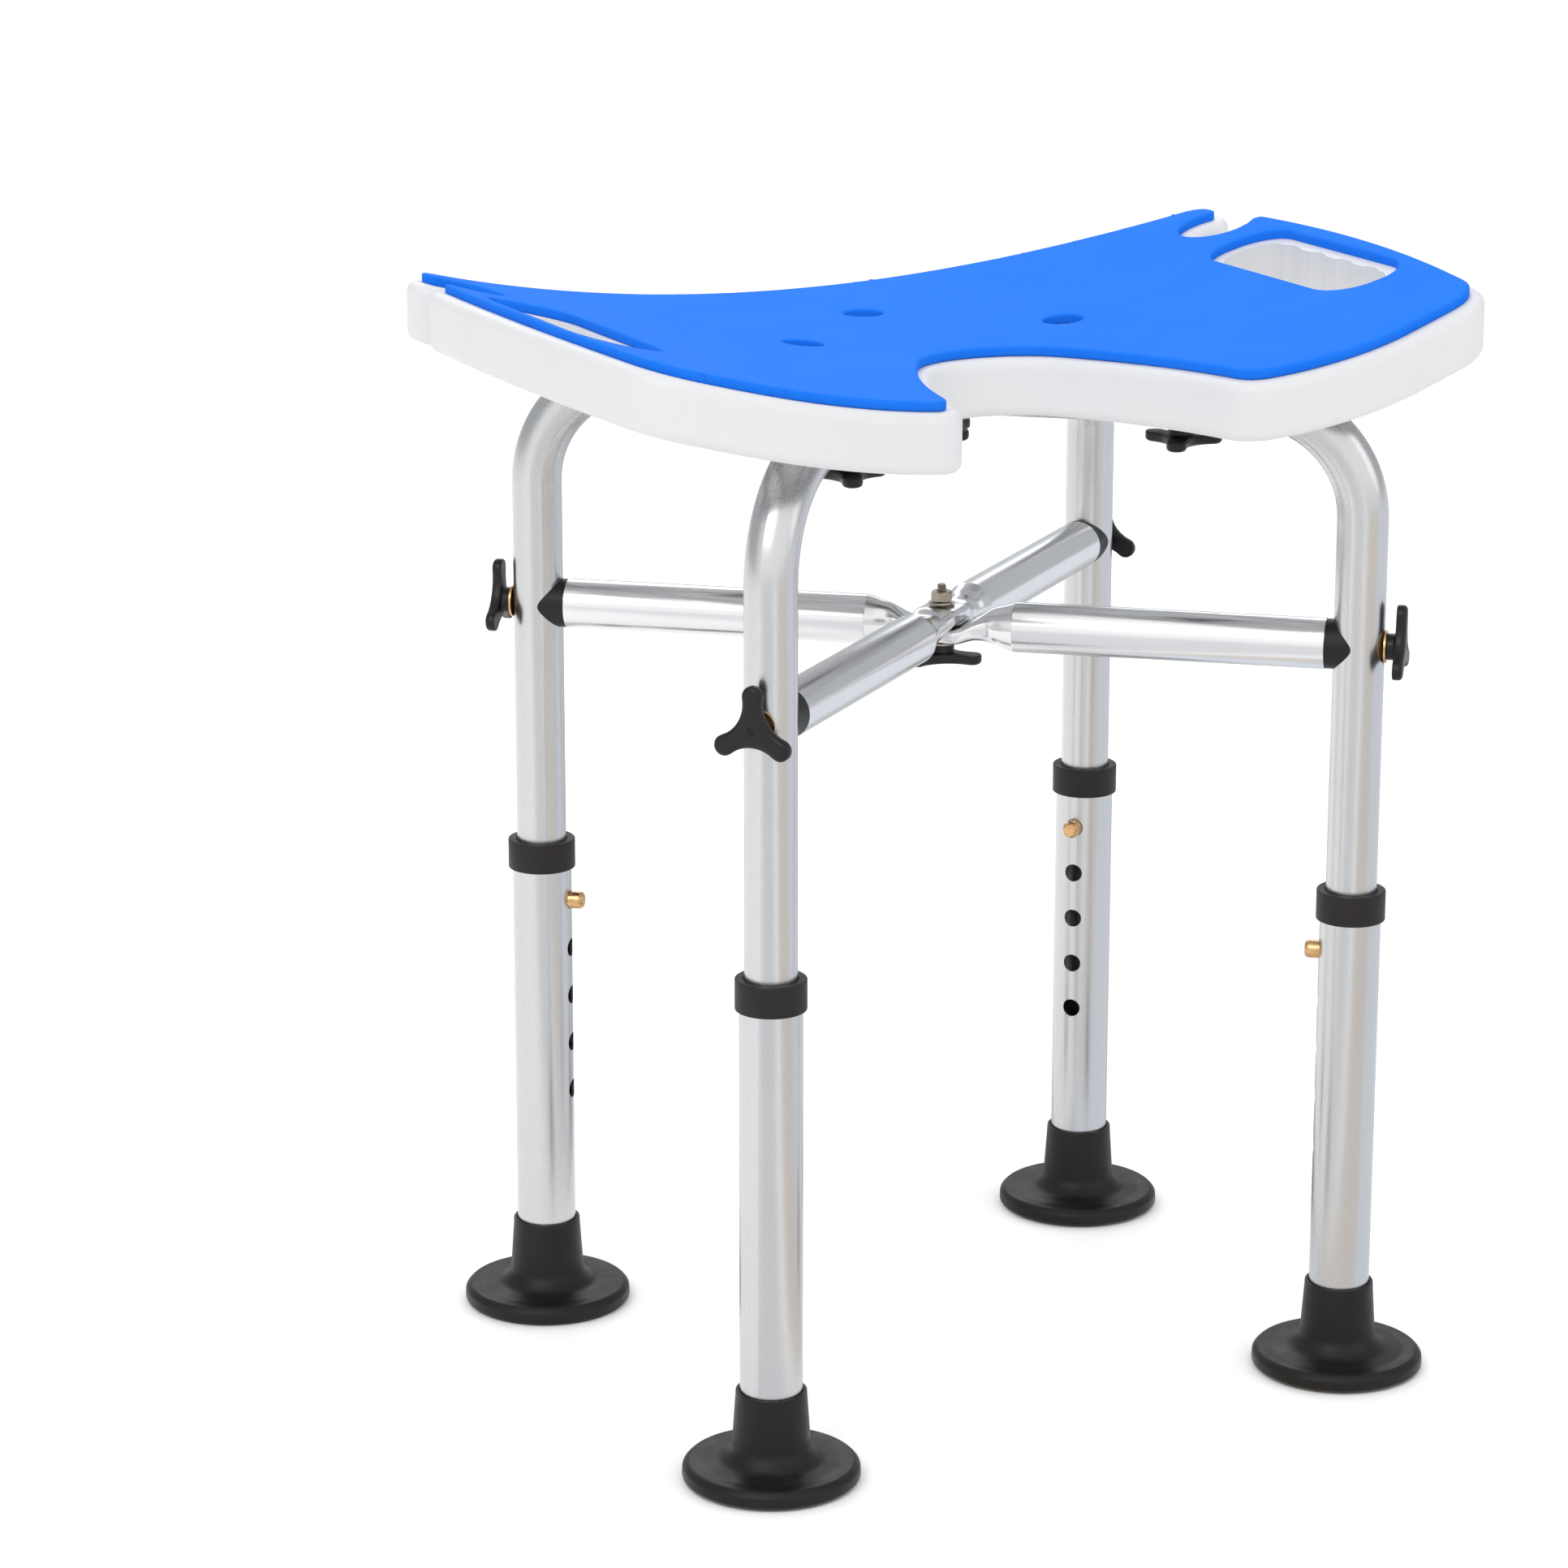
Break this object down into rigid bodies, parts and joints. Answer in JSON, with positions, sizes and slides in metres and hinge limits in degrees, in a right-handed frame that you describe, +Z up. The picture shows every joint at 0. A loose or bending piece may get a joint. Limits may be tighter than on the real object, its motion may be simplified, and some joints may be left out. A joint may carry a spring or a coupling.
{
  "type": "shower stool",
  "caption": "Free-standing shower stool with a padded, curved seat, hand holes, a front cut-out, braced tube legs that telescope, and flared rubber feet.",
  "frame": {"origin": "on the floor, below the middle of the seat and of the four legs", "axes": "+Z up; +Y from the front cut-out to the back of the seat; +X to the right end of the seat as seen from the front"},
  "size_m": [0.48, 0.3476, 0.55],
  "materials": {
    "foam_blue": "closed-cell foam with a fine matte skin",
    "seat_white": "fine-grained satin moulding",
    "tube_aluminium": "satin anodised",
    "brace_aluminium": "bright anodised",
    "plug_black": "satin moulding",
    "collar_black": "satin moulding",
    "knob_black": "semi-gloss moulding",
    "foot_rubber": "satin rubber",
    "brass": "turned",
    "zinc_steel": "zinc plated",
    "spring_steel": "blued spring strip"
  },
  "bodies": {
    "frame": {"brace_bolt_nut": "zinc_steel", "brace_flat_washer": "zinc_steel", "brace_plug_back_left": "plug_black", "brace_plug_back_right": "plug_black", "brace_plug_front_left": "plug_black", "brace_plug_front_right": "plug_black", "brace_plug_nuts": "zinc_steel", "brace_spring_washer": "zinc_steel", "brace_tube_lower": "brace_aluminium", "brace_tube_upper": "brace_aluminium", "crossing_bolt_nut": "zinc_steel", "crossing_flat_washer": "zinc_steel", "crossing_spring_washer": "zinc_steel", "leg_knob_washers": "brass", "seat_inserts": "brass", "seat_knob_washers": "zinc_steel", "seat_pad": "foam_blue", "seat_shell": "seat_white", "seat_tube_lower": "tube_aluminium", "seat_tube_upper": "tube_aluminium", "snap_spring_back_left": "spring_steel", "snap_spring_back_right": "spring_steel", "snap_spring_front_left": "spring_steel", "snap_spring_front_right": "spring_steel"},
    "leg_front_left": {"leg_tube_front_left": "tube_aluminium", "leg_collar_front_left": "collar_black", "foot_front_left": "foot_rubber"},
    "button_front_left": {"snap_button_front_left": "brass"},
    "leg_front_right": {"leg_tube_front_right": "tube_aluminium", "leg_collar_front_right": "collar_black", "foot_front_right": "foot_rubber"},
    "button_front_right": {"snap_button_front_right": "brass"},
    "leg_back_right": {"leg_tube_back_right": "tube_aluminium", "leg_collar_back_right": "collar_black", "foot_back_right": "foot_rubber"},
    "button_back_right": {"snap_button_back_right": "brass"},
    "leg_back_left": {"leg_tube_back_left": "tube_aluminium", "leg_collar_back_left": "collar_black", "foot_back_left": "foot_rubber"},
    "button_back_left": {"snap_button_back_left": "brass"},
    "knob_leg_front_left": {"knob_leg_front_left": "knob_black", "knob_screw_leg_front_left": "zinc_steel"},
    "knob_leg_front_right": {"knob_leg_front_right": "knob_black", "knob_screw_leg_front_right": "zinc_steel"},
    "knob_leg_back_right": {"knob_leg_back_right": "knob_black", "knob_screw_leg_back_right": "zinc_steel"},
    "knob_leg_back_left": {"knob_leg_back_left": "knob_black", "knob_screw_leg_back_left": "zinc_steel"},
    "knob_seat_front_left": {"knob_seat_front_left": "knob_black", "knob_screw_seat_front_left": "zinc_steel"},
    "knob_seat_front_right": {"knob_seat_front_right": "knob_black", "knob_screw_seat_front_right": "zinc_steel"},
    "knob_seat_back_right": {"knob_seat_back_right": "knob_black", "knob_screw_seat_back_right": "zinc_steel"},
    "knob_seat_back_left": {"knob_seat_back_left": "knob_black", "knob_screw_seat_back_left": "zinc_steel"},
    "knob_brace": {"knob_brace": "knob_black", "knob_screw_brace": "zinc_steel"},
    "knob_crossing": {"knob_crossing": "knob_black", "knob_screw_crossing": "zinc_steel"}
  },
  "joints": [
    {"name": "leg_slide_front_left", "type": "slide", "parent": "frame", "child": "leg_front_left", "axis": [0, 0, 1], "range_m": [0, 0.1016], "deforming": ["snap_button_front_left", "snap_spring_front_left"]},
    {"name": "leg_slide_front_right", "type": "slide", "parent": "frame", "child": "leg_front_right", "axis": [0, 0, 1], "range_m": [0, 0.1016], "deforming": ["snap_button_front_right", "snap_spring_front_right"]},
    {"name": "leg_slide_back_right", "type": "slide", "parent": "frame", "child": "leg_back_right", "axis": [0, 0, 1], "range_m": [0, 0.1016], "deforming": ["snap_button_back_right", "snap_spring_back_right"]},
    {"name": "leg_slide_back_left", "type": "slide", "parent": "frame", "child": "leg_back_left", "axis": [0, 0, 1], "range_m": [0, 0.1016], "deforming": ["snap_button_back_left", "snap_spring_back_left"]},
    {"name": "button_press_front_left", "type": "slide", "parent": "frame", "child": "button_front_left", "axis": [-0.7728, -0.6347, 0], "range_m": [0, 0.0085], "stiffness_N_per_m": 600, "springref_m": -0.004, "deforming": ["snap_spring_front_left"]},
    {"name": "button_press_front_right", "type": "slide", "parent": "frame", "child": "button_front_right", "axis": [0.7728, -0.6347, 0], "range_m": [0, 0.0085], "stiffness_N_per_m": 600, "springref_m": -0.004, "deforming": ["snap_spring_front_right"]},
    {"name": "button_press_back_right", "type": "slide", "parent": "frame", "child": "button_back_right", "axis": [0.7728, 0.6347, 0], "range_m": [0, 0.0085], "stiffness_N_per_m": 600, "springref_m": -0.004, "deforming": ["snap_spring_back_right"]},
    {"name": "button_press_back_left", "type": "slide", "parent": "frame", "child": "button_back_left", "axis": [-0.7728, 0.6347, 0], "range_m": [0, 0.0085], "stiffness_N_per_m": 600, "springref_m": -0.004, "deforming": ["snap_spring_back_left"]},
    {"name": "turn_knob_leg_front_left", "type": "hinge", "parent": "frame", "child": "knob_leg_front_left", "pos_m": [-0.17001, -0.13963, 0.3735], "axis": [-0.7728, -0.6347, 0], "continuous": true},
    {"name": "turn_knob_leg_front_right", "type": "hinge", "parent": "frame", "child": "knob_leg_front_right", "pos_m": [0.17001, -0.13963, 0.3735], "axis": [0.7728, -0.6347, 0], "continuous": true},
    {"name": "turn_knob_leg_back_right", "type": "hinge", "parent": "frame", "child": "knob_leg_back_right", "pos_m": [0.17001, 0.13963, 0.3735], "axis": [0.7728, 0.6347, 0], "continuous": true},
    {"name": "turn_knob_leg_back_left", "type": "hinge", "parent": "frame", "child": "knob_leg_back_left", "pos_m": [-0.17001, 0.13963, 0.3735], "axis": [-0.7728, 0.6347, 0], "continuous": true},
    {"name": "turn_knob_seat_front_left", "type": "hinge", "parent": "frame", "child": "knob_seat_front_left", "pos_m": [-0.09072, -0.07451, 0.4779], "axis": [0, 0, -1], "continuous": true},
    {"name": "turn_knob_seat_front_right", "type": "hinge", "parent": "frame", "child": "knob_seat_front_right", "pos_m": [0.09072, -0.07451, 0.4779], "axis": [0, 0, -1], "continuous": true},
    {"name": "turn_knob_seat_back_right", "type": "hinge", "parent": "frame", "child": "knob_seat_back_right", "pos_m": [0.09072, 0.07451, 0.4779], "axis": [0, 0, -1], "continuous": true},
    {"name": "turn_knob_seat_back_left", "type": "hinge", "parent": "frame", "child": "knob_seat_back_left", "pos_m": [-0.09072, 0.07451, 0.4779], "axis": [0, 0, -1], "continuous": true},
    {"name": "turn_knob_brace", "type": "hinge", "parent": "frame", "child": "knob_brace", "pos_m": [0, 0, 0.3635], "axis": [0, 0, -1], "continuous": true},
    {"name": "turn_knob_crossing", "type": "hinge", "parent": "frame", "child": "knob_crossing", "pos_m": [0, 0, 0.4779], "axis": [0, 0, -1], "continuous": true}
  ]
}
